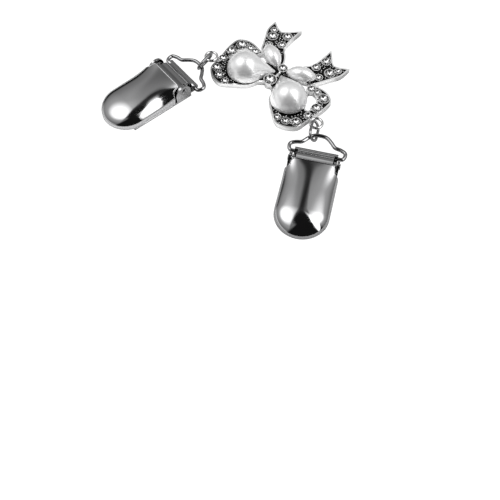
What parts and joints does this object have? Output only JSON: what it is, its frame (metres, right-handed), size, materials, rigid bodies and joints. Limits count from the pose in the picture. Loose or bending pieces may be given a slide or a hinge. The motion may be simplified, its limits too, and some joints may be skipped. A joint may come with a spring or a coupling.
{
  "type": "bow sweater clip",
  "caption": "Sweater clip: a cast bow with drop and leaf pearls and cut stones, linked by oval rings and wire bails to hinged spring clips that grip the two edges of a cardigan.",
  "frame": {"origin": "on the flat back of the bow, under its middle, between the two drop pearls' tips", "axes": "+Z out of the bow's front; +Y from the bow's loops towards its tails; +X towards the right clip; the piece lies flat on its back"},
  "size_m": [0.101, 0.086, 0.0097],
  "materials": {
    "silver": "polished silver-coloured plate, blackened in the recesses between the stones",
    "clip_metal": "polished nickel-coloured sheet with dark reflections",
    "pearl": "imitation pearl with a satin lustre",
    "crystal": "clear cut glass with a foiled back"
  },
  "bodies": {
    "bow": {"bow_frame": "silver", "middle_stone": "crystal", "knot_stone": "crystal", "left_drop_pearl": "pearl", "left_leaf_pearl": "pearl", "right_drop_pearl": "pearl", "right_leaf_pearl": "pearl", "left_loop_stone_1": "crystal", "left_loop_stone_2": "crystal", "left_loop_stone_3": "crystal", "left_loop_stone_4": "crystal", "left_loop_stone_5": "crystal", "left_loop_stone_6": "crystal", "left_loop_stone_7": "crystal", "left_loop_stone_8": "crystal", "left_tail_stone_1": "crystal", "left_tail_stone_2": "crystal", "left_tail_stone_3": "crystal", "left_tail_stone_4": "crystal", "left_tail_stone_5": "crystal", "right_loop_stone_1": "crystal", "right_loop_stone_2": "crystal", "right_loop_stone_3": "crystal", "right_loop_stone_4": "crystal", "right_loop_stone_5": "crystal", "right_loop_stone_6": "crystal", "right_loop_stone_7": "crystal", "right_loop_stone_8": "crystal", "right_tail_stone_1": "crystal", "right_tail_stone_2": "crystal", "right_tail_stone_3": "crystal", "right_tail_stone_4": "crystal", "right_tail_stone_5": "crystal", "left_jump_ring": "silver", "left_bail": "silver", "right_jump_ring": "silver", "right_bail": "silver"},
    "left_clip": {"left_clip_plate": "clip_metal", "left_clip_pin_1": "silver", "left_clip_pin_2": "silver"},
    "left_cover": {"left_clip_cover": "clip_metal"},
    "right_clip": {"right_clip_plate": "clip_metal", "right_clip_pin_1": "silver", "right_clip_pin_2": "silver"},
    "right_cover": {"right_clip_cover": "clip_metal"}
  },
  "joints": [
    {"name": "left_bail_hinge", "type": "hinge", "parent": "bow", "child": "left_clip", "pos_m": [-0.02856, -0.02637, 0.00163], "axis": [-0.9877, 0.1564, 0], "range_deg": [-100, 60]},
    {"name": "left_cover_hinge", "type": "hinge", "parent": "left_clip", "child": "left_cover", "pos_m": [-0.02941, -0.0317, 0.0045], "axis": [-0.9877, 0.1564, 0], "range_deg": [0, 95]},
    {"name": "right_bail_hinge", "type": "hinge", "parent": "bow", "child": "right_clip", "pos_m": [0.0359, -0.02088, 0.00163], "axis": [-0.8829, -0.4695, 0], "range_deg": [-100, 60]},
    {"name": "right_cover_hinge", "type": "hinge", "parent": "right_clip", "child": "right_cover", "pos_m": [0.03843, -0.02565, 0.0045], "axis": [-0.8829, -0.4695, 0], "range_deg": [0, 95]}
  ]
}
